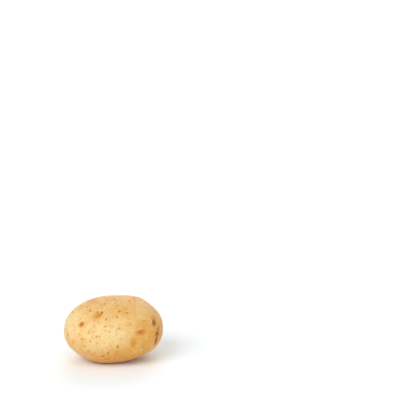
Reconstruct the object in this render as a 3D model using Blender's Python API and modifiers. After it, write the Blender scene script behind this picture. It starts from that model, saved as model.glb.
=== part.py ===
"""One washed potato: a whole tuber that grew as one piece, lying on a small flat spot of its underside.

Metres, +Z up. X runs along the tuber, from the heel at -X, where it hung on its stolon, to the rose end
at +X, where its eyes crowd together. The origin is on the surface it rests on, below the middle of its box.

A place on the skin is named as seen from the middle of the tuber: by its bearing, in degrees turned from
+X towards +Y, and by its elevation, in degrees above the level.
"""

import math

import bmesh
import bpy
import numpy as np

MM = 0.001

# The tuber's box, before its underside is flattened.
LENGTH = 96 * MM
WIDTH = 73 * MM
HEIGHT = 62.5 * MM

# How full the plain body is: 2 is an ellipsoid, and more is squarer at the shoulders.
FULLNESS = 2.2

# Where the tuber grew fuller or leaner than the plain body: bearing, elevation, spread (degrees) and rise.
SWELLS = {
    "rose end's upper shoulder": (20, 50, 18, 2.4 * MM),
    "rose end's slope below that shoulder": (4, 27, 16, -1.2 * MM),
    "rose end's cut-back chin": (-20, -48, 18, -2.4 * MM),
    "rose end's front cheek": (-10, -22, 20, -0.7 * MM),
    "rose end's tip": (-4, -6, 18, -0.9 * MM),
    "heel's blunt end": (175, 15, 22, -1.4 * MM),
    "heel's underside": (-165, -27, 25, -1.1 * MM),
    "front belly near the heel": (-140, -60, 26, 1.1 * MM),
    "front flank near the heel": (-125, 5, 35, 1.5 * MM),
    "front flank near the rose end": (-60, 15, 28, -0.8 * MM),
    "back flank near the heel": (125, -10, 30, -1.2 * MM),
    "back flank near the rose end": (60, 5, 35, 1.2 * MM),
    "crown": (115, 65, 28, 0.9 * MM),
}

# The eyes: bearing, elevation, length, breadth, depth, and the length's tilt above the level, in degrees.
EYES = {
    "front, above the heel": (-119, 38, 9.0 * MM, 6.0 * MM, 0.8 * MM, 65),
    "front, beside the rose end": (-49, 9, 10.0 * MM, 4.5 * MM, 0.6 * MM, 0),
    "front, below the rose end": (-60, -5, 7.0 * MM, 9.0 * MM, 0.3 * MM, 0),
    "rose end, front": (-26, 15, 8.5 * MM, 5.0 * MM, 0.8 * MM, 50),
    "rose end, low front": (-26, -7, 10.0 * MM, 4.0 * MM, 0.8 * MM, 92),
    "rose end, tip": (0, 3, 7.0 * MM, 5.5 * MM, 1.2 * MM, 70),
    "rose end, top": (12, 34, 7.0 * MM, 4.0 * MM, 0.8 * MM, 10),
    "rose end, back": (27, 6, 9.0 * MM, 4.0 * MM, 1.0 * MM, -80),
    "rose end, underneath": (14, -25, 8.0 * MM, 4.0 * MM, 0.8 * MM, 195),
    "back, beside the rose end": (63, -22, 9.0 * MM, 4.5 * MM, 0.9 * MM, -105),
    "back, upper middle": (88, 36, 9.0 * MM, 4.5 * MM, 1.0 * MM, -70),
    "back, above the heel": (146, 12, 8.0 * MM, 4.5 * MM, 0.8 * MM, -85),
    "underside, near the heel": (170, -47, 8.0 * MM, 4.0 * MM, 0.6 * MM, 5),
    "stolon scar": (182, 4, 6.0 * MM, 6.0 * MM, 0.9 * MM, 0),
}

# The underside is pressed flat by FLAT_PRESS, and eases into the round of the skin within FLAT_EASE.
FLAT_PRESS = 0.7 * MM
FLAT_EASE = 0.5 * MM

# The cage is a cube whose faces are cut into CAGE_CELLS rows, and each level of smoothing halves its cells.
CAGE_CELLS = 12
SMOOTHING_LEVELS = 1

SKIN_COLOUR = (0.78, 0.56, 0.27, 1.0)
SKIN_ROUGHNESS = 0.5


def clear_scene():
    for obj in list(bpy.data.objects):
        bpy.data.objects.remove(obj, do_unlink=True)


def direction(bearing, elevation):
    """The unit vector that points from the middle of the tuber at a place on its skin."""
    turn = math.radians(bearing)
    rise = math.radians(elevation)
    return np.array((math.cos(turn) * math.cos(rise), math.sin(turn) * math.cos(rise), math.sin(rise)))


def plain_reach(units):
    """How far the plain body's skin is from its middle, along each unit vector."""
    half_sizes = np.array((LENGTH, WIDTH, HEIGHT)) / 2
    powers = np.abs(units / half_sizes) ** FULLNESS
    return powers.sum(axis=1) ** (-1 / FULLNESS)


def swell_rise(units):
    """How much further out the skin is along each unit vector than the plain body's."""
    total = np.zeros(len(units))
    for bearing, elevation, spread, rise in SWELLS.values():
        away = 1 - units @ direction(bearing, elevation)
        total += rise * np.exp(-away / (1 - math.cos(math.radians(spread))))
    return total


def points_of(mesh):
    points = np.empty(len(mesh.vertices) * 3)
    mesh.vertices.foreach_get("co", points)
    return points.reshape(-1, 3)


def set_points(mesh, points):
    mesh.vertices.foreach_set("co", points.reshape(-1))
    mesh.update()


def units_of(points):
    return points / np.linalg.norm(points, axis=1, keepdims=True)


def make_cage():
    """A coarse cage round the tuber: a cube cut into a grid, rounded to a ball and pushed to the skin."""
    grid = bmesh.new()
    bmesh.ops.create_cube(grid, size=2)
    bmesh.ops.subdivide_edges(grid, edges=grid.edges, cuts=CAGE_CELLS - 1, use_grid_fill=True)
    mesh = bpy.data.meshes.new("potato_cage")
    grid.to_mesh(mesh)
    grid.free()
    # The tangent spaces the grid's rows at even angles, as seen from the middle.
    units = units_of(np.tan(points_of(mesh) * math.pi / 4))
    reach = plain_reach(units) + swell_rise(units)
    set_points(mesh, units * reach[:, None])
    return mesh


def smoothed(cage):
    """A new mesh: the cage with Subdivision Surface applied."""
    holder = bpy.data.objects.new("potato_cage", cage)
    bpy.context.scene.collection.objects.link(holder)
    smoothing = holder.modifiers.new("smoothing", "SUBSURF")
    smoothing.levels = SMOOTHING_LEVELS
    smoothing.render_levels = SMOOTHING_LEVELS
    graph = bpy.context.evaluated_depsgraph_get()
    mesh = bpy.data.meshes.new_from_object(holder.evaluated_get(graph))
    bpy.data.objects.remove(holder, do_unlink=True)
    bpy.data.meshes.remove(cage)
    return mesh


def fit_to_box(points):
    """Smoothing draws the skin in a little, so the points are centred and scaled to the true size."""
    low = points.min(axis=0)
    high = points.max(axis=0)
    return (points - (low + high) / 2) * np.array((LENGTH, WIDTH, HEIGHT)) / (high - low)


def press_eye(points, bearing, elevation, length, breadth, depth, tilt):
    """Sinks the skin round one eye towards the middle of the tuber, deepest at the eye's centre."""
    outward = direction(bearing, elevation)
    sideways = direction(bearing + 90, 0)
    upward = np.cross(outward, sideways)
    lean = math.radians(tilt)
    along = math.cos(lean) * sideways + math.sin(lean) * upward
    across = np.cross(outward, along)
    facing = units_of(points) @ outward
    centre = outward * np.linalg.norm(points[np.argmax(facing)])
    offset = points - centre
    spread = (offset @ along / (length / 2)) ** 2 + (offset @ across / (breadth / 2)) ** 2
    sink = np.where(facing > 0, depth * np.exp(-spread), 0)
    return points - units_of(points) * sink[:, None]


def flatten_underside(points):
    """Stands the tuber on z = 0 with a flat spot, whose rim eases into the round of the skin."""
    height = points[:, 2] - points[:, 2].min() - FLAT_PRESS
    easing = height**2 / (2 * FLAT_EASE)
    above = height - FLAT_EASE / 2
    flattened = points.copy()
    flattened[:, 2] = np.where(height <= 0, 0, np.where(height < FLAT_EASE, easing, above))
    return flattened


def centred(points):
    """Puts the middle of the tuber's box on the Z axis."""
    middle = (points.min(axis=0) + points.max(axis=0)) / 2
    return points - np.array((middle[0], middle[1], 0))


def make_tuber():
    mesh = smoothed(make_cage())
    points = fit_to_box(points_of(mesh))
    for eye in EYES.values():
        points = press_eye(points, *eye)
    set_points(mesh, centred(flatten_underside(points)))
    mesh.name = "potato"
    mesh.shade_smooth()
    return mesh


def make_skin_material():
    material = bpy.data.materials.new("potato_skin")
    material.use_nodes = True
    shader = material.node_tree.nodes["Principled BSDF"]
    shader.inputs["Base Color"].default_value = SKIN_COLOUR
    shader.inputs["Roughness"].default_value = SKIN_ROUGHNESS
    shader.inputs["Metallic"].default_value = 0.0
    material.diffuse_color = SKIN_COLOUR
    return material


def main():
    clear_scene()
    collection = bpy.data.collections.new("potato")
    bpy.context.scene.collection.children.link(collection)
    potato = bpy.data.objects.new("potato", make_tuber())
    potato.data.materials.append(make_skin_material())
    collection.objects.link(potato)


main()
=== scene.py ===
"""The look of one washed potato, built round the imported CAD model, in a plain pale studio.

Metres, +Z up, in the CAD model's frame: the heel, where the tuber hung on its stolon, is at -X, and the
rose end, where its eyes crowd together, is at +X. The skin is a fine mesh whose shape is read from the CAD
node. The relief of its eyes, pits and lenticels is modelled, and how far each point lies from them is kept
in the mesh's attributes, which the skin's material turns into colour and fine bumps.

A place on the skin is named as seen from the tuber's middle: by its bearing, in degrees turned from +X
towards +Y, and by its elevation, in degrees above the level. Sizes on the skin are in millimetres.
"""

import math

import bmesh
import bpy
import numpy as np
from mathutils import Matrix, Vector, noise
from mathutils.bvhtree import BVHTree


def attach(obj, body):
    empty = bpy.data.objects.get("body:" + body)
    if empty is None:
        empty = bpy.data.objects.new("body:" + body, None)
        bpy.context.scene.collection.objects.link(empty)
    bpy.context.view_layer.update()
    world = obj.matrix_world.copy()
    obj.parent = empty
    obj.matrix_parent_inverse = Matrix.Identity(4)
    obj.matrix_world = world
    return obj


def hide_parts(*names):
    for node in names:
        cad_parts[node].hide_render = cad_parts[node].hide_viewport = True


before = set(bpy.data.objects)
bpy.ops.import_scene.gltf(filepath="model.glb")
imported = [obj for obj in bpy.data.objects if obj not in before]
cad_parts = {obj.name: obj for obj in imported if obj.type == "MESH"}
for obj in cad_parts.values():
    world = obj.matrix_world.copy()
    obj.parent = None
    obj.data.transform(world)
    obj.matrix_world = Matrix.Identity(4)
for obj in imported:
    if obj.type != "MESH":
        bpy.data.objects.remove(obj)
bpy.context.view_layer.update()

MM = 0.001
NODE = "potato"

# The middle that bearings and elevations are taken from, as in the CAD model.
MIDDLE = np.array((0.0, 0.0, 30.3)) * MM

# The skin's mesh: a ball's cube faces are cut into BALL_CELLS rows, and each level halves the cells.
BALL_CELLS = 32
SKIN_LEVELS = 2

# The skin's own unevenness: size and height of each layer of low swellings, in mm.
UNEVENNESS = ((16.0, 0.34), (6.0, 0.11), (2.4, 0.03))

# The resting spot stays flat: relief fades in over this height above it.
RELIEF_STARTS = 0.4 * MM
RELIEF_FULL = 3.0 * MM

# The eyes: bearing, elevation, length, breadth, tilt of the length above the level, and then how strong
# their relief, their tint and their dark buds are. The brow lies along the length, most often towards
# the heel.
EYES = {
    "front, above the heel": (-119, 38, 8.0, 6.0, 245, 0.45, 0.30, 0.0),
    "front, beside the rose end": (-49, 8, 9.5, 5.0, 0, 0.26, 0.70, 0.35),
    "rose end, front": (-26, 15, 8.5, 5.0, 50, 0.65, 0.80, 0.6),
    "rose end, low front": (-26, -7, 10.0, 4.0, 92, 0.75, 0.90, 0.7),
    "rose end, tip": (0, 3, 7.5, 5.5, 70, 1.2, 0.70, 1.0),
    "rose end, top": (12, 34, 7.5, 4.5, 10, 0.9, 0.60, 0.7),
    "rose end, back": (27, 6, 9.0, 4.5, -80, 1.0, 0.70, 0.8),
    "rose end, underneath": (14, -25, 8.0, 4.5, 195, 0.9, 0.60, 0.7),
    "back, beside the rose end": (63, -22, 9.0, 5.0, -105, 0.9, 0.60, 0.8),
    "back, upper middle": (88, 36, 9.5, 5.5, -70, 1.1, 0.70, 1.0),
    "back, above the heel": (146, 12, 8.5, 5.0, -85, 0.8, 0.50, 0.6),
    "underside, near the heel": (170, -47, 8.0, 4.5, 5, 0.7, 0.50, 0.5),
}

# The buds in an eye: how far each is along its length from the middle, and its size.
BUDS = ((0.0, 1.0), (-1.7, 0.7), (1.6, 0.6))

# An eye's relief where its strength is 1, in mm.
BASIN_DEPTH = 0.90
BROW_RISE = 0.55
CREASE_DEPTH = 0.55
BUD_RISE = 0.60
# The crease arches by this share of the eye's breadth, fades out at this share of its length from the
# middle, and is this wide in mm.
CREASE_ARCH = 0.3
CREASE_REACH = 0.52
CREASE_WIDTH = 0.55
# How far above the crease the brow is highest, and how wide it is, in mm.
BROW_PLACE = 1.1
BROW_WIDTH = 1.0
# The buds sit this share of the eye's breadth below its middle, and are this much narrower across it.
BUD_DROP = 0.08
BUD_NARROWING = 1.3
# How far the tint spreads, as shares of the eye's length and breadth, and the buds' own, as a share of
# their size.
TINT_ALONG = 0.62
TINT_ACROSS = 0.75
BUD_TINT_REACH = 1.5
# The brown line of a crease, in mm: half its width where the tint is 1, and how much it narrows towards
# its ends.
CREASE_LINE = 0.5
CREASE_TAPER = 1.2

# Pits and scars: bearing, elevation, length, breadth, tilt, depth.
PITS = {
    "brown pit": (-138, 19, 4.0, 3.6, 50, 0.60),
    "small pit at the back": (112, -20, 2.4, 2.0, 0, 0.30),
    "stolon scar": (182, 4, 4.0, 4.0, 0, 0.50),
}
# The lip round a pit: its rise as a share of the depth, its distance as a share of the length, its width.
LIP_RISE = 0.12
LIP_PLACE = 0.62
LIP_WIDTH = 0.6

# Broad areas of another tone: bearing, elevation, length, breadth, tilt, strength. The pale ones at the
# front are partly a painted highlight, where the light falls most, and the golden ones at the rose end and
# low on the front are partly painted shade.
PALE_AND_HIGHLIGHT_AREAS = {
    # The front's two pale areas are a painted highlight, where the light falls most.
    "front": (-104, 4, 66.0, 40.0, -10, 0.8),
    "front, middle": (-88, 9, 26.0, 15.0, 0, 1.1),
    "heel": (-158, 16, 40.0, 34.0, 0, 0.9),
    "heel, low": (-138, -30, 26.0, 16.0, -15, 0.8),
    "back": (112, 22, 44.0, 26.0, 10, 0.8),
}
GOLDEN_AND_SHADE_AREAS = {
    # The rose end's front and tip are partly painted shade.
    "rose end, front": (-36, 2, 44.0, 34.0, 0, 1.0),
    "rose end, tip": (-4, -3, 36.0, 46.0, 0, 1.0),
    "rose end, back": (50, 12, 34.0, 24.0, 30, 0.8),
    # Partly painted shade, low on the front.
    "low front": (-66, -25, 60.0, 28.0, 10, 1.0),
    "low back": (100, -30, 60.0, 18.0, -5, 0.7),
    "upper front": (-52, 42, 34.0, 18.0, -20, 0.45),
    "heel's back": (150, 30, 24.0, 20.0, 0, 0.5),
}
ROSY_AREAS = {
    "crown, heel side": (-170, 56, 24.0, 8.0, 20, 1.2),
    "crown, lower rim at the heel": (-170, 40, 14.0, 4.0, 20, 0.6),
    "crown, front": (-110, 84, 26.0, 8.0, 0, 0.8),
    "crown, rose end": (-6, 56, 26.0, 7.0, -20, 0.6),
    "rose end": (-20, 4, 10.0, 26.0, 0, 0.6),
    "crown, back": (60, 66, 24.0, 7.0, 0, 0.5),
}

# Stains of the skin: bearing, elevation, length, breadth, tilt, strength.
GOLDEN_STAINS = {
    "front eye's bed": (-121, 36, 9.5, 7.5, 58, 1.0),
    "front eye's furrow": (-120, 52, 9.0, 3.0, 80, 0.45),
    "below the front eye": (-122, 28, 2.4, 2.8, 0, 0.7),
    "brown pit's rim": (-138, 18, 6.0, 5.6, 50, 1.1),
    "patch below the eye beside the rose end": (-61, -5, 7.5, 10.5, 0, 1.0),
    "streak below the eye beside the rose end": (-53, 1, 3.0, 8.0, 10, 0.4),
    "front, low near the rose end": (-47, -12, 9.0, 7.0, 0, 0.5),
    "blotch below the pit, left": (-125, 10, 2.6, 4.6, 0, 0.75),
    "blotch below the pit, right": (-119, 12, 3.6, 3.0, 20, 0.75),
    "twin spots, left": (-91, 37, 3.2, 2.8, 0, 0.7),
    "twin spots, right": (-83, 36, 3.2, 3.0, 0, 0.85),
    "spot below the pit": (-134, 0, 3.4, 3.4, 0, 0.8),
    "spot on the heel's front": (-148, -6, 3.6, 2.6, 0, 0.75),
    "heel's front": (-157, 1, 4.0, 6.0, 0, 0.95),
    "middle, low left": (-114, 6, 3.0, 2.4, 0, 0.6),
    "rose end, above its front eye": (-40, 22, 3.0, 2.4, 0, 0.6),
    "front, low middle": (-108, -27, 8.0, 5.0, 10, 0.6),
    "back, high": (100, 62, 9.0, 6.0, 30, 0.5),
    "back, low": (120, -30, 8.0, 6.0, 0, 0.6),
    "back, rose end": (48, 28, 6.0, 5.0, 0, 0.5),
    "heel": (-172, -12, 6.0, 5.0, 0, 0.4),
}
BROWN_STAINS = {
    "brown pit": (-138, 19, 4.4, 4.0, 50, 1.1),
    "front eye's upper corner": (-115, 43, 3.4, 3.0, 240, 1.0),
    "front eye's brow": (-115, 39, 6.5, 2.8, 240, 0.75),
    "front eye's left corner": (-124, 42, 2.6, 2.2, 0, 0.8),
    "rose end, front eye": (-26, 15, 7.5, 4.8, 50, 1.0),
    "rose end, between its front eyes": (-26, 1, 5.0, 6.8, 75, 1.25),
    "rose end, above that": (-23, 6, 5.5, 3.8, 60, 0.8),
    "rose end, low front eye": (-26, -8, 9.0, 4.2, 92, 1.3),
    "eye beside the rose end": (-50, 8, 8.0, 3.8, -5, 0.65),
    "eye beside the rose end, left": (-52, 9, 3.6, 2.4, 0, 0.6),
    "eye beside the rose end, right corner": (-45, 6, 2.4, 1.8, 0, 0.5),
    "rose end, low spot": (-43, -17, 3.0, 2.4, 0, 0.45),
    "stolon scar": (182, 4, 4.4, 4.4, 0, 0.8),
    "small pit at the back": (112, -20, 2.4, 2.0, 0, 0.9),
    "back, middle": (75, 12, 4.0, 2.8, 40, 0.35),
    "back, top": (140, 50, 3.4, 2.6, 0, 0.4),
}

# The mesh's attributes that keep these areas and stains.
STAINS = {
    "pale_and_highlight_area": PALE_AND_HIGHLIGHT_AREAS,
    "golden_and_shade_area": GOLDEN_AND_SHADE_AREAS,
    "rosy_area": ROSY_AREAS,
    "golden_stain": GOLDEN_STAINS,
    "brown_stain": BROWN_STAINS,
}

# The lenticels that stand out on the front: bearing, elevation, width and darkness.
FRONT_LENTICELS = (
    (-122, 62, 2.2, 0.9),
    (-147, 75, 2.4, 0.5),
    (-139, 40, 2.4, 0.7),
    (-156, 44, 1.9, 0.6),
    (-174, 26, 2.2, 0.8),
    (-164, 36, 2.2, 0.4),
    (-144, 25, 1.8, 0.4),
    (-141, 34, 2.0, 0.3),
    (-103, 32, 2.1, 0.65),
    (-103, 21, 2.2, 0.5),
    (-119, 19, 1.8, 0.35),
    (-76, 46, 2.0, 0.95),
    (-62, 41, 2.0, 0.7),
    (-23, 61, 2.0, 0.7),
    (-83, 67, 2.0, 0.5),
    (-77, 59, 1.8, 0.5),
    (-81, 18, 1.7, 0.5),
    (-68, 21, 1.5, 0.35),
    (-48, 35, 1.8, 0.3),
    (-40, 22, 1.8, 0.45),
    (-102, 15, 1.6, 0.4),
    (-96, 14, 1.6, 0.4),
    (-137, 6, 1.7, 0.5),
    (-123, -1, 2.0, 0.45),
    (-114, 6, 2.0, 0.45),
    (-114, -3, 1.8, 0.4),
    (-131, -9, 2.1, 0.5),
    (-128, -17, 1.8, 0.5),
    (-84, -10, 2.2, 1.0),
    (-99, -21, 2.2, 0.75),
    (-109, -27, 2.4, 0.6),
    (-101, -35, 2.2, 0.6),
    (-65, -34, 2.2, 0.6),
    (-85, -19, 2.0, 0.35),
    (-152, 14, 1.8, 0.3),
)

# The other lenticels are scattered: how many are tried, how far apart they grow, their widths and their
# darkness.
SCATTER_SEED = 11
BOLD_LENTICELS = (260, 6.5, (1.2, 2.2), (0.35, 0.95))
FAINT_LENTICELS = (1100, 2.6, (0.5, 1.6), (0.10, 0.40))
# The scattered bold ones stay off the front: the bearing and elevation of its middle, and the cosine of
# the angle at which it ends.
FRONT_MIDDLE = (-90, 17.5)
FRONT_END = 0.45

# Every lenticel is round to oval, in a direction of its own: how long the longest are for their width.
SHAPE_SEED = 5
LONGEST_LENTICEL = 1.7
# The relief of the darkest ones, in mm: a low mound, pricked in the middle, each as wide as a share of
# the lenticel's width.
MOUND_RISE = 0.11
MOUND_WIDTH = 0.8
PRICK_DEPTH = 0.12
PRICK_WIDTH = 0.35

# The distances in mm that the mesh keeps where no crease or no lenticel is near.
NO_CREASE_NEAR = 9.0
NO_LENTICEL_NEAR = 3.0
# The cosines of the angles at which a patch of skin and a lenticel's surroundings end, and how far
# away, in mm, the points beyond a patch count as being.
PATCH_END = 0.2
LENTICEL_END = 0.99
BEYOND_PATCH = 999

# Where the camera stands, as seen from the tuber's middle: degrees above the level, and metres away.
CAMERA_BEARING = -90
CAMERA_ELEVATION = 17.5
CAMERA_DISTANCE = 1.453
# Its focal length and the width of its sensor, in mm.
CAMERA_LENS = 135.0
CAMERA_SENSOR = 36.0
# Where the tuber's middle falls in the picture, in picture widths right of and above its centre.
TUBER_IN_PICTURE = (-0.216, -0.3226)


def srgb(code):
    """A colour written as six hexadecimal digits, as the linear colour that Blender's nodes take."""
    parts = [int(code[start : start + 2], 16) / 255 for start in (0, 2, 4)]
    linear = [part / 12.92 if part <= 0.04045 else ((part + 0.055) / 1.055) ** 2.4 for part in parts]
    return (*linear, 1.0)


def direction(bearing, elevation):
    """The unit vector that points from the tuber's middle at a place on its skin."""
    turn = math.radians(bearing)
    rise = math.radians(elevation)
    return np.array((math.cos(turn) * math.cos(rise), math.sin(turn) * math.cos(rise), math.sin(rise)))


def smooth_step(values, low, high):
    share = np.clip((values - low) / (high - low), 0, 1)
    return share * share * (3 - 2 * share)


# ---- The skin's mesh ----


def points_of(mesh):
    points = np.empty(len(mesh.vertices) * 3)
    mesh.vertices.foreach_get("co", points)
    return points.reshape(-1, 3)


def set_points(mesh, points):
    mesh.vertices.foreach_set("co", points.reshape(-1))
    mesh.update()


def normals_of(mesh):
    normals = np.empty(len(mesh.vertices) * 3)
    mesh.vertex_normals.foreach_get("vector", normals)
    return normals.reshape(-1, 3)


def cast_ball(node):
    """A ball of even square cells, shrunk from inside onto the CAD node's skin."""
    grid = bmesh.new()
    bmesh.ops.create_cube(grid, size=2)
    bmesh.ops.subdivide_edges(grid, edges=grid.edges, cuts=BALL_CELLS - 1, use_grid_fill=True)
    surface = BVHTree.FromPolygons(
        [vertex.co for vertex in node.data.vertices],
        [polygon.vertices for polygon in node.data.polygons],
    )
    for vertex in grid.verts:
        # The tangent spaces the rows at even angles, as seen from the middle.
        outward = Vector([math.tan(part * math.pi / 4) for part in vertex.co]).normalized()
        vertex.co = surface.ray_cast(Vector(MIDDLE), outward)[0]
    mesh = bpy.data.meshes.new("skin_cage")
    grid.to_mesh(mesh)
    grid.free()
    return mesh


def refined(cage):
    """A new mesh: the cage with Subdivision Surface applied."""
    holder = bpy.data.objects.new("skin_cage", cage)
    bpy.context.scene.collection.objects.link(holder)
    smoothing = holder.modifiers.new("smoothing", "SUBSURF")
    smoothing.levels = SKIN_LEVELS
    smoothing.render_levels = SKIN_LEVELS
    graph = bpy.context.evaluated_depsgraph_get()
    mesh = bpy.data.meshes.new_from_object(holder.evaluated_get(graph))
    bpy.data.objects.remove(holder, do_unlink=True)
    bpy.data.meshes.remove(cage)
    return mesh


class Skin:
    """The skin's mesh, and its points before relief, with their directions from the middle and normals."""

    def __init__(self, mesh):
        self.mesh = mesh
        self.points = points_of(mesh)
        self.normals = normals_of(mesh)
        outward = self.points - MIDDLE
        self.units = outward / np.linalg.norm(outward, axis=1, keepdims=True)
        self.relief = np.zeros(len(self.points))

    def place_along(self, outward):
        """The point of the skin that a unit vector from the middle points at."""
        nearest = self.points[np.argmax(self.units @ outward)]
        return MIDDLE + outward * np.linalg.norm(nearest - MIDDLE)

    def place(self, bearing, elevation):
        return self.place_along(direction(bearing, elevation))

    def patch(self, bearing, elevation, tilt):
        """How far each point is from a place, in mm, along a line tilted from the level and across it."""
        outward = direction(bearing, elevation)
        sideways = direction(bearing + 90, 0)
        upward = np.cross(outward, sideways)
        lean = math.radians(tilt)
        along = math.cos(lean) * sideways + math.sin(lean) * upward
        across = np.cross(outward, along)
        offset = (self.points - self.place_along(outward)) / MM
        beyond = self.units @ outward < PATCH_END
        along_mm = np.where(beyond, BEYOND_PATCH, offset @ along)
        across_mm = np.where(beyond, BEYOND_PATCH, offset @ across)
        return along_mm, across_mm

    def keep(self, name, values):
        """Stores one number for each point, which the material reads by this name."""
        attribute = self.mesh.attributes.new(name, "FLOAT", "POINT")
        attribute.data.foreach_set("value", values.astype(np.float32))


def bell(distance, width):
    return np.exp(-((distance / width) ** 2))


def crease_of(along, across, length, breadth):
    """How far each point is across an eye's crease, and how strongly the crease shows there."""
    arch = across - CREASE_ARCH * breadth * (1 - (2 * along / length) ** 2)
    reach = np.exp(-((along / (CREASE_REACH * length)) ** 4))
    return arch, reach


def bud_relief(along, across, breadth):
    total = np.zeros(len(along))
    for sideways, size in BUDS:
        narrowed = BUD_NARROWING * (across + BUD_DROP * breadth)
        total += BUD_RISE * size * bell(np.hypot(along - sideways, narrowed), size)
    return total


def bud_shade(along, across):
    shades = [bell(np.hypot(along - sideways, across), BUD_TINT_REACH * size) for sideways, size in BUDS]
    return np.maximum.reduce(shades)


def add_eyes(skin):
    """Each eye is a basin with a cluster of buds in it, under a brow whose crease arches over them."""
    tint = np.zeros(len(skin.points))
    bud_tint = np.zeros(len(skin.points))
    crease_rim = np.full(len(skin.points), NO_CREASE_NEAR)
    for bearing, elevation, length, breadth, tilt, relief, shade, dark in EYES.values():
        along, across = skin.patch(bearing, elevation, tilt)
        arch, reach = crease_of(along, across, length, breadth)
        basin = -BASIN_DEPTH * bell(along, length / 2) * bell(across, breadth / 2)
        brow = BROW_RISE * bell(arch - BROW_PLACE, BROW_WIDTH) * reach
        crease = -CREASE_DEPTH * bell(arch, CREASE_WIDTH) * reach
        skin.relief += relief * (basin + brow + crease + bud_relief(along, across, breadth))
        bed = bell(along, TINT_ALONG * length) * bell(across, TINT_ACROSS * breadth)
        tint = np.maximum(tint, shade * bed)
        bud_tint = np.maximum(bud_tint, dark * bud_shade(along, across))
        rim = np.abs(arch) - CREASE_LINE * shade * reach + CREASE_TAPER * (1 - reach)
        crease_rim = np.minimum(crease_rim, rim)
    skin.keep("eye_tint", tint)
    skin.keep("bud_tint", bud_tint)
    skin.keep("crease_rim", crease_rim)


def add_pits(skin):
    for bearing, elevation, length, breadth, tilt, depth in PITS.values():
        along, across = skin.patch(bearing, elevation, tilt)
        hollow = bell(along, length / 2) * bell(across, breadth / 2)
        lip = bell(np.hypot(along, across) - LIP_PLACE * length, LIP_WIDTH)
        skin.relief += LIP_RISE * depth * lip - depth * hollow


def add_stains(skin, name, stains):
    total = np.zeros(len(skin.points))
    for bearing, elevation, length, breadth, tilt, strength in stains.values():
        along, across = skin.patch(bearing, elevation, tilt)
        total = np.maximum(total, strength * bell(along, length / 2) * bell(across, breadth / 2))
    skin.keep(name, total)


def outward_of(point):
    """The unit vector from the tuber's middle to a point."""
    return (point - MIDDLE) / np.linalg.norm(point - MIDDLE)


def is_front(point):
    """Whether a point is on the stretch of skin whose bold lenticels are placed one by one."""
    return outward_of(point) @ direction(*FRONT_MIDDLE) > FRONT_END


def scatter(skin, draw, taken, kind):
    """New lenticels at random places that keep their distance from the ones already taken."""
    tries, apart, widths, darkness = kind
    found = []
    for _ in range(tries):
        outward = draw.normal(size=3)
        outward /= np.linalg.norm(outward)
        point = skin.place_along(outward)
        if min(np.linalg.norm(point - other) for other in taken) < apart * MM:
            continue
        taken.append(point)
        found.append((point, draw.uniform(*widths), draw.uniform(*darkness)))
    return found


def place_lenticels(skin):
    """Every lenticel's place, width and darkness: the front's first, then the scattered ones."""
    lenticels = []
    for bearing, elevation, width, darkness in FRONT_LENTICELS:
        lenticels.append((skin.place(bearing, elevation), width, darkness))
    taken = [point for point, _, _ in lenticels]
    taken += [skin.place(eye[0], eye[1]) for eye in EYES.values()]
    draw = np.random.default_rng(SCATTER_SEED)
    bold = [each for each in scatter(skin, draw, taken, BOLD_LENTICELS) if not is_front(each[0])]
    return lenticels + bold + scatter(skin, draw, taken, FAINT_LENTICELS)


def oval_distance(offset, outward, draw):
    """How far each offset lies from the middle of a random oval, as if it were a disc of the same area."""
    lie = draw.normal(size=3)
    lie -= outward * (lie @ outward)
    lie /= np.linalg.norm(lie)
    stretch = draw.uniform(1.0, LONGEST_LENTICEL)
    along = offset @ lie
    across = np.sqrt(np.maximum((offset**2).sum(axis=1) - along**2, 0))
    return np.hypot(along / math.sqrt(stretch), across * math.sqrt(stretch))


def add_lenticels(skin):
    """Keeps how far each point lies from the rim of its nearest lenticel, and how dark that one is."""
    draw = np.random.default_rng(SHAPE_SEED)
    rim = np.full(len(skin.points), NO_LENTICEL_NEAR)
    shade = np.zeros(len(skin.points))
    for point, width, darkness in place_lenticels(skin):
        outward = outward_of(point)
        near = np.flatnonzero(skin.units @ outward > LENTICEL_END)
        away = oval_distance((skin.points[near] - point) / MM, outward, draw)
        distance = away - width / 2
        closer = distance < rim[near]
        rim[near[closer]] = distance[closer]
        shade[near[closer]] = darkness
        mound = MOUND_RISE * bell(away, width * MOUND_WIDTH)
        prick = PRICK_DEPTH * bell(away, width * PRICK_WIDTH)
        skin.relief[near] += darkness * (mound - prick)
    skin.keep("lenticel_rim", rim)
    skin.keep("lenticel_shade", shade)


def add_unevenness(skin):
    """Low swellings of a few sizes, so that the skin isn't too smooth."""
    places = skin.points / MM
    for size, height in UNEVENNESS:
        rolls = [noise.noise(Vector(place / size)) for place in places]
        skin.relief += height * np.array(rolls)


def raise_relief(skin):
    """Moves the skin in and out by its relief, and leaves the resting spot flat."""
    share = smooth_step(skin.points[:, 2], RELIEF_STARTS, RELIEF_FULL)
    moved = skin.points + skin.normals * (skin.relief * share * MM)[:, None]
    moved[:, 2] = np.maximum(moved[:, 2], 0)
    set_points(skin.mesh, moved)


def make_tuber():
    skin = Skin(refined(cast_ball(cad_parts[NODE])))
    add_unevenness(skin)
    add_eyes(skin)
    add_pits(skin)
    add_lenticels(skin)
    for name, stains in STAINS.items():
        add_stains(skin, name, stains)
    raise_relief(skin)
    skin.mesh.name = "potato_tuber"
    skin.mesh.shade_smooth()
    skin.mesh.materials.append(make_skin_material())
    tuber = bpy.data.objects.new("potato_tuber", skin.mesh)
    bpy.context.scene.collection.objects.link(tuber)
    return tuber


# ---- Shader helpers ----


def feed(tree, socket, value):
    if isinstance(value, bpy.types.NodeSocket):
        tree.links.new(value, socket)
    else:
        socket.default_value = value


def maths(tree, operation, first, second=0.0):
    node = tree.nodes.new("ShaderNodeMath")
    node.operation = operation
    feed(tree, node.inputs[0], first)
    feed(tree, node.inputs[1], second)
    return node.outputs[0]


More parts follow.
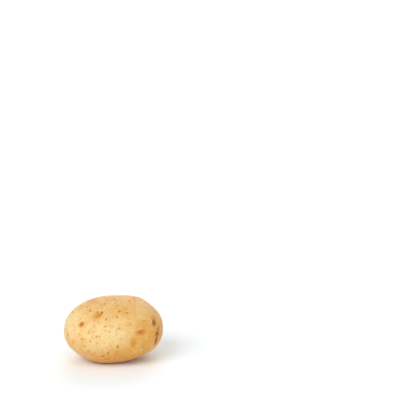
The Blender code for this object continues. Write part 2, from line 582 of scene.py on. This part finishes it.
def ramp(tree, value, low, high, start=0.0, end=1.0):
    """Goes smoothly from start to end as value goes from low to high."""
    node = tree.nodes.new("ShaderNodeMapRange")
    node.interpolation_type = "SMOOTHSTEP"
    feed(tree, node.inputs["Value"], value)
    for name, setting in (("From Min", low), ("From Max", high), ("To Min", start), ("To Max", end)):
        node.inputs[name].default_value = setting
    return node.outputs["Result"]


def mix(tree, share, first, second, blend="MIX"):
    node = tree.nodes.new("ShaderNodeMix")
    node.data_type = "RGBA"
    node.blend_type = blend
    feed(tree, node.inputs["Factor"], share)
    feed(tree, node.inputs["A"], first)
    feed(tree, node.inputs["B"], second)
    return node.outputs["Result"]


def attribute(tree, name):
    node = tree.nodes.new("ShaderNodeAttribute")
    node.attribute_name = name
    return node.outputs["Fac"]


def place_socket(tree):
    return tree.nodes.new("ShaderNodeTexCoord").outputs["Object"]


def mottle(tree, size, detail=2.0, roughness=0.5, distortion=0.0):
    """Noise from 0 to 1 whose largest patches are about size across, in mm."""
    node = tree.nodes.new("ShaderNodeTexNoise")
    feed(tree, node.inputs["Vector"], place_socket(tree))
    node.inputs["Scale"].default_value = 1000 / size
    node.inputs["Detail"].default_value = detail
    node.inputs["Roughness"].default_value = roughness
    node.inputs["Distortion"].default_value = distortion
    return node.outputs["Fac"]


def warped_place(tree, size, strength):
    """Object coordinates shifted by noise: patches of size, moved by up to strength, both in mm."""
    wander = tree.nodes.new("ShaderNodeTexNoise")
    feed(tree, wander.inputs["Vector"], place_socket(tree))
    wander.inputs["Scale"].default_value = 1000 / size
    scale = tree.nodes.new("ShaderNodeVectorMath")
    scale.operation = "SCALE"
    feed(tree, scale.inputs[0], wander.outputs["Color"])
    scale.inputs["Scale"].default_value = strength * MM
    add = tree.nodes.new("ShaderNodeVectorMath")
    feed(tree, add.inputs[0], place_socket(tree))
    feed(tree, add.inputs[1], scale.outputs[0])
    return add.outputs[0]


def cells(tree, size, feature, vector):
    """Distance in a pattern of cells of about size, in mm: to a cell's middle (F1) or to its edge."""
    node = tree.nodes.new("ShaderNodeTexVoronoi")
    node.feature = feature
    feed(tree, node.inputs["Vector"], vector)
    node.inputs["Scale"].default_value = 1000 / size
    return node.outputs["Distance"]


# ---- The skin's material ----

STRAW = srgb("DBB576")
HONEY = srgb("D8A964")
# Cream: the skin's own paler tone, and a painted highlight on the front.
CREAM_AND_HIGHLIGHT = srgb("E1C48D")
# Gold: the skin's own tone, and painted shade at the rose end and low on the front.
GOLD = srgb("D69D4B")
SHADE_AMBER = srgb("DC923D")
# Painted warm shade, for the tuber's lower sides.
ROSY_TAN = srgb("D28F64")
PALE_FLAKE = srgb("E6C890")
NET_BROWN = srgb("B5803F")
LENTICEL_DARK = srgb("A4610E")
LENTICEL_FAINT = srgb("C68C38")
EYE_BROWN = srgb("BC6E34")
CREASE_BROWN = srgb("7E4208")
STAIN_GOLD = srgb("CB8A30")
STAIN_BROWN = srgb("AC661A")
STAIN_DARK = srgb("8C4C0A")

# The broad areas: their colour, the size in mm of the blotches that break up their edges, how much these
# add to or take from their strength, and how strongly the colour shows at most.
AREA_TONES = {
    "pale_and_highlight_area": (CREAM_AND_HIGHLIGHT, 9, 0.9, 0.95),
    "golden_and_shade_area": (GOLD, 9, 1.0, 0.85),
    "rosy_area": (ROSY_TAN, 6, 1.6, 0.66),
}

# Painted warm shade: amber sets in on the way down between the first two heights, and thins out again
# between the next two, from AMBER_MOST to AMBER_LEAST. Noise lifts each place by up to AMBER_WANDER first.
AMBER_SETS_IN = (24 * MM, 8 * MM)
AMBER_THINS = (4 * MM, 11 * MM)
AMBER_LEAST = 0.35
AMBER_MOST = 0.95
AMBER_WANDER = 10 * MM

# How strongly each layer of the skin's colour shows at most.
FLAKE_SHARE = 0.32
DUSK_SHARE = 0.35
NET_SHARE = 0.35
SPECK_SHARE = 0.45
HALO_SHARE = 0.6
EYE_BED_SHARE = 0.75
BUD_SHARE = 0.7
CREASE_SHARE = 0.55

# The fine bumps' heights, as shares of BUMP_DISTANCE.
BUMP_DISTANCE = 0.12 * MM
WRINKLE_BUMP = 0.5
NET_BUMP = -0.22
LENTICEL_BUMP = 0.35
PRICK_BUMP = -0.35
FOLD_BUMP = -1.2
SCALE_BUMP = 2.0

# The skin's roughness goes from one of these to the other, and a lenticel's is more by LENTICEL_DULLNESS.
SATIN_ROUGHNESS = (0.42, 0.56)
LENTICEL_DULLNESS = 0.15


def with_area(tree, tone, name):
    """The tone with a broad area's own over it: where the mesh says, with a blotchy edge."""
    colour, size, change, most = AREA_TONES[name]
    blotches = maths(tree, "SUBTRACT", mottle(tree, size, 3, 0.55), 0.5)
    changed = maths(tree, "ADD", attribute(tree, name), maths(tree, "MULTIPLY", blotches, change))
    shows = ramp(tree, changed, 0.15, 0.85)
    return mix(tree, maths(tree, "MULTIPLY", shows, most), tone, colour)


def low_painted_shade(tree):
    """How strongly the painted amber shade shows: most low on the sides, and less underneath."""
    height = tree.nodes.new("ShaderNodeSeparateXYZ")
    feed(tree, height.inputs[0], place_socket(tree))
    wander = maths(tree, "MULTIPLY", mottle(tree, 14), AMBER_WANDER)
    wavy = maths(tree, "ADD", height.outputs["Z"], wander)
    sets_in = ramp(tree, wavy, *AMBER_SETS_IN)
    thins = ramp(tree, wavy, *AMBER_THINS, AMBER_LEAST, AMBER_MOST)
    return maths(tree, "MULTIPLY", sets_in, thins)


def with_grain(tree, tone):
    """The tone made a little darker and lighter from grain to grain."""
    grain = ramp(tree, mottle(tree, 0.9, 3, 0.6), 0.3, 0.7, 0.94, 1.05)
    grey = tree.nodes.new("ShaderNodeCombineColor")
    for channel in ("Red", "Green", "Blue"):
        feed(tree, grey.inputs[channel], grain)
    return mix(tree, 1.0, tone, grey.outputs[0], "MULTIPLY")


def skin_tones(tree):
    """Straw and honey mottling, cream, gold and rose in broad areas, amber low down, and pale flakes. The
    front's cream is partly a painted highlight, the gold at the rose end and low on the front is partly
    painted shade, and the amber low down is painted warm shade.
    """
    tone = mix(tree, ramp(tree, mottle(tree, 18, 4, 0.6), 0.36, 0.64), STRAW, HONEY)
    # Cream, partly a painted highlight on the front.
    tone = with_area(tree, tone, "pale_and_highlight_area")
    # Gold, partly painted shade at the rose end and low on the front.
    tone = with_area(tree, tone, "golden_and_shade_area")
    # Painted shade: amber low on the sides.
    tone = mix(tree, low_painted_shade(tree), tone, SHADE_AMBER)
    tone = with_area(tree, tone, "rosy_area")
    flakes = ramp(tree, mottle(tree, 4, 4, 0.6, 0.4), 0.50, 0.66, 0.0, FLAKE_SHARE)
    tone = mix(tree, flakes, tone, PALE_FLAKE)
    dusk = ramp(tree, mottle(tree, 6, 3, 0.6, 0.3), 0.52, 0.72, 0.0, DUSK_SHARE)
    return with_grain(tree, mix(tree, dusk, tone, LENTICEL_FAINT))


def netting(tree):
    """How strongly the skin's fine brown net shows: thin lines round small cells, in some areas only."""
    edge = cells(tree, 1.9, "DISTANCE_TO_EDGE", warped_place(tree, 1.5, 0.9))
    lines = ramp(tree, edge, 0.10, 0.02)
    areas = ramp(tree, mottle(tree, 13, 3), 0.48, 0.66)
    return maths(tree, "MULTIPLY", lines, areas)


def specks(tree):
    """How strongly tiny tan specks show: one to each small cell, in some areas only."""
    spots = cells(tree, 1.7, "F1", warped_place(tree, 0.8, 0.4))
    areas = ramp(tree, mottle(tree, 9, 2), 0.42, 0.60)
    return maths(tree, "MULTIPLY", ramp(tree, spots, 0.26, 0.14), areas)


def ragged(tree, name, size, strength):
    """A distance kept in the mesh, made ragged by noise of that size, both in mm."""
    wander = maths(tree, "SUBTRACT", mottle(tree, size, 2, 0.6), 0.5)
    return maths(tree, "ADD", attribute(tree, name), maths(tree, "MULTIPLY", wander, strength))


def stained(tree, colour, name, stain, size, thinnest):
    """The colour with a stain over it, which noise of that size, in mm, thins down to the thinnest share."""
    broken = ramp(tree, mottle(tree, size, 3, 0.6), 0.25, 0.65, thinnest, 1.15)
    share = ramp(tree, maths(tree, "MULTIPLY", attribute(tree, name), broken), 0.05, 0.95)
    return mix(tree, share, colour, stain)


def with_lenticels(tree, colour):
    """Each lenticel is a brown spot in a soft golden halo."""
    rim = ragged(tree, "lenticel_rim", 0.8, 1.3)
    shade = attribute(tree, "lenticel_shade")
    halo = maths(tree, "MULTIPLY", ramp(tree, rim, 1.3, -0.2, 0.0, HALO_SHARE), shade)
    spot = maths(tree, "MULTIPLY", ramp(tree, rim, 0.30, -0.70), ramp(tree, shade, 0.0, 0.8, 0.4, 1.0))
    brown = mix(tree, shade, LENTICEL_FAINT, LENTICEL_DARK)
    return mix(tree, spot, mix(tree, halo, colour, STAIN_GOLD), brown)


def with_eye_beds(tree, colour):
    bed = ramp(tree, attribute(tree, "eye_tint"), 0.1, 1.0, 0.0, EYE_BED_SHARE)
    return mix(tree, bed, colour, EYE_BROWN)


def corky_brown(tree):
    """The brown of old, scaly skin: mottled, with darker flecks."""
    flecks = ramp(tree, mottle(tree, 0.9, 3, 0.65, 0.5), 0.40, 0.62)
    return mix(tree, flecks, STAIN_BROWN, STAIN_DARK)


def with_buds_and_creases(tree, colour):
    scales = ramp(tree, mottle(tree, 0.8, 3, 0.6), 0.35, 0.6, 0.6, 1.0)
    buds = ramp(tree, attribute(tree, "bud_tint"), 0.3, 1.0, 0.0, BUD_SHARE)
    budded = mix(tree, maths(tree, "MULTIPLY", buds, scales), colour, CREASE_BROWN)
    crease = ramp(tree, ragged(tree, "crease_rim", 0.8, 0.6), 0.45, -0.3, 0.0, CREASE_SHARE)
    return mix(tree, crease, budded, CREASE_BROWN)


def skin_colour(tree):
    colour = skin_tones(tree)
    colour = stained(tree, colour, "golden_stain", STAIN_GOLD, 2.5, 0.55)
    colour = mix(tree, maths(tree, "MULTIPLY", netting(tree), NET_SHARE), colour, NET_BROWN)
    colour = mix(tree, maths(tree, "MULTIPLY", specks(tree), SPECK_SHARE), colour, LENTICEL_FAINT)
    colour = with_lenticels(tree, colour)
    colour = with_eye_beds(tree, colour)
    colour = stained(tree, colour, "brown_stain", corky_brown(tree), 1.2, 0.50)
    return with_buds_and_creases(tree, colour)


def lenticel_bumps(tree):
    """Raised discs with a sunken middle, higher the darker the lenticel is."""
    rim = ragged(tree, "lenticel_rim", 0.7, 0.5)
    raised = maths(tree, "MULTIPLY", ramp(tree, rim, 0.35, -0.15), LENTICEL_BUMP)
    pricked = maths(tree, "MULTIPLY", ramp(tree, rim, -0.25, -0.5), PRICK_BUMP)
    return maths(tree, "MULTIPLY", maths(tree, "ADD", raised, pricked), attribute(tree, "lenticel_shade"))


def skin_bumps(tree):
    """Fine wrinkles, sunken net lines, pricked lenticels, the eyes' folds and their scaly buds."""
    wrinkles = maths(tree, "MULTIPLY", mottle(tree, 1.3, 4, 0.65), WRINKLE_BUMP)
    net = maths(tree, "MULTIPLY", netting(tree), NET_BUMP)
    flat = maths(tree, "ADD", maths(tree, "ADD", wrinkles, net), lenticel_bumps(tree))
    folds = ramp(tree, ragged(tree, "crease_rim", 0.8, 0.4), 0.35, -0.25, 0.0, FOLD_BUMP)
    scaly = maths(tree, "MULTIPLY", attribute(tree, "bud_tint"), SCALE_BUMP)
    scales = maths(tree, "MULTIPLY", mottle(tree, 0.8, 3, 0.6), scaly)
    return maths(tree, "ADD", flat, maths(tree, "ADD", folds, scales))


def make_skin_material():
    material = bpy.data.materials.new("potato_skin")
    material.use_nodes = True
    tree = material.node_tree
    shader = tree.nodes["Principled BSDF"]
    feed(tree, shader.inputs["Base Color"], skin_colour(tree))
    dull = ramp(tree, attribute(tree, "lenticel_rim"), 0.3, -0.1, 0.0, LENTICEL_DULLNESS)
    satin = ramp(tree, mottle(tree, 7, 3), 0.3, 0.7, *SATIN_ROUGHNESS)
    feed(tree, shader.inputs["Roughness"], maths(tree, "ADD", satin, dull))
    shader.inputs["IOR"].default_value = 1.45
    shader.inputs["Specular IOR Level"].default_value = 0.22
    shader.inputs["Subsurface Weight"].default_value = 0.12
    shader.inputs["Subsurface Radius"].default_value = (1.0, 0.55, 0.25)
    shader.inputs["Subsurface Scale"].default_value = 2.0 * MM
    bump = tree.nodes.new("ShaderNodeBump")
    bump.inputs["Strength"].default_value = 0.6
    bump.inputs["Distance"].default_value = BUMP_DISTANCE
    feed(tree, bump.inputs["Height"], skin_bumps(tree))
    feed(tree, shader.inputs["Normal"], bump.outputs["Normal"])
    return material


# ---- The studio ----

# The floor is flat out to FLOOR_RADIUS, and bends up into a low wall all round.
FLOOR_RADIUS = 2.6
WALL_BEND = 0.7
WALL_HEIGHT = 0.5
FLOOR_SIDES = 96
FLOOR_WHITE = (0.895, 0.92, 0.93, 1.0)
ROOM_BRIGHTNESS = 0.52

# The lights are very wide ones: bearing, elevation, width as an angle, and strength in W/m2.
LIGHTS = {
    "key": (-130, 30, 50, 2.3),
    "fill": (-80, 48, 60, 0.55),
    "rim": (82, 34, 45, 0.9),
}


def floor_profile():
    """The floor's outline from its middle out and up the wall, as distances and heights."""
    profile = [(0.0, 0.0)]
    for angle in range(0, 91, 15):
        turn = math.radians(angle)
        profile.append((FLOOR_RADIUS + WALL_BEND * math.sin(turn), WALL_BEND * (1 - math.cos(turn))))
    profile.append((FLOOR_RADIUS + WALL_BEND, WALL_BEND + WALL_HEIGHT))
    return profile


def make_floor_mesh():
    bowl = bmesh.new()
    rim = [bowl.verts.new((across, 0, height)) for across, height in floor_profile()]
    edges = [bowl.edges.new(pair) for pair in zip(rim, rim[1:])]
    turned = {"axis": (0, 0, 1), "angle": 2 * math.pi, "steps": FLOOR_SIDES}
    bmesh.ops.spin(bowl, geom=rim + edges, use_merge=True, **turned)
    bmesh.ops.remove_doubles(bowl, verts=bowl.verts, dist=1e-5)
    mesh = bpy.data.meshes.new("studio_floor")
    bowl.to_mesh(mesh)
    bowl.free()
    mesh.shade_smooth()
    return mesh


def make_floor_material():
    material = bpy.data.materials.new("studio_floor")
    material.use_nodes = True
    shader = material.node_tree.nodes["Principled BSDF"]
    shader.inputs["Base Color"].default_value = FLOOR_WHITE
    shader.inputs["Roughness"].default_value = 0.9
    shader.inputs["Specular IOR Level"].default_value = 0.0
    return material


def make_floor():
    """A white bowl: a disc whose edge bends up, turned from its profile."""
    mesh = make_floor_mesh()
    mesh.materials.append(make_floor_material())
    floor = bpy.data.objects.new("studio_floor", mesh)
    bpy.context.scene.collection.objects.link(floor)


def make_light(name, bearing, elevation, width, strength):
    lamp = bpy.data.lights.new(name, "SUN")
    lamp.energy = strength
    lamp.angle = math.radians(width)
    light = bpy.data.objects.new(name, lamp)
    towards = Vector(-direction(bearing, elevation))
    light.rotation_euler = towards.to_track_quat("-Z", "Y").to_euler()
    bpy.context.scene.collection.objects.link(light)


def make_room():
    """White light from all round."""
    world = bpy.data.worlds.new("studio")
    world.use_nodes = True
    background = world.node_tree.nodes["Background"]
    background.inputs["Color"].default_value = (1.0, 1.0, 1.0, 1.0)
    background.inputs["Strength"].default_value = ROOM_BRIGHTNESS
    bpy.context.scene.world = world


def make_camera():
    """A level camera, turned so that the tuber's middle falls where TUBER_IN_PICTURE says."""
    right, up = TUBER_IN_PICTURE
    ahead = CAMERA_LENS / CAMERA_SENSOR
    length = math.sqrt(right * right + up * up + ahead * ahead)
    # The tuber's middle lies CAMERA_ELEVATION below the level, and up above the camera's own axis.
    pitch = math.asin(-math.sin(math.radians(CAMERA_ELEVATION)) * length / math.hypot(up, ahead))
    pitch -= math.atan2(up, ahead)
    level = ahead * math.cos(pitch) - up * math.sin(pitch)
    data = bpy.data.cameras.new("camera")
    data.lens = CAMERA_LENS
    data.sensor_width = CAMERA_SENSOR
    camera = bpy.data.objects.new("camera", data)
    camera.location = MIDDLE + CAMERA_DISTANCE * direction(CAMERA_BEARING, CAMERA_ELEVATION)
    camera.rotation_euler = (math.pi / 2 + pitch, 0, math.atan2(right, level))
    bpy.context.scene.collection.objects.link(camera)
    bpy.context.scene.camera = camera


make_camera()
make_room()
for light_name, light in LIGHTS.items():
    make_light(light_name, *light)
make_floor()
potato = make_tuber()
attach(potato, "root")
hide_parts(NODE)
bpy.context.scene.view_settings.view_transform = "Standard"
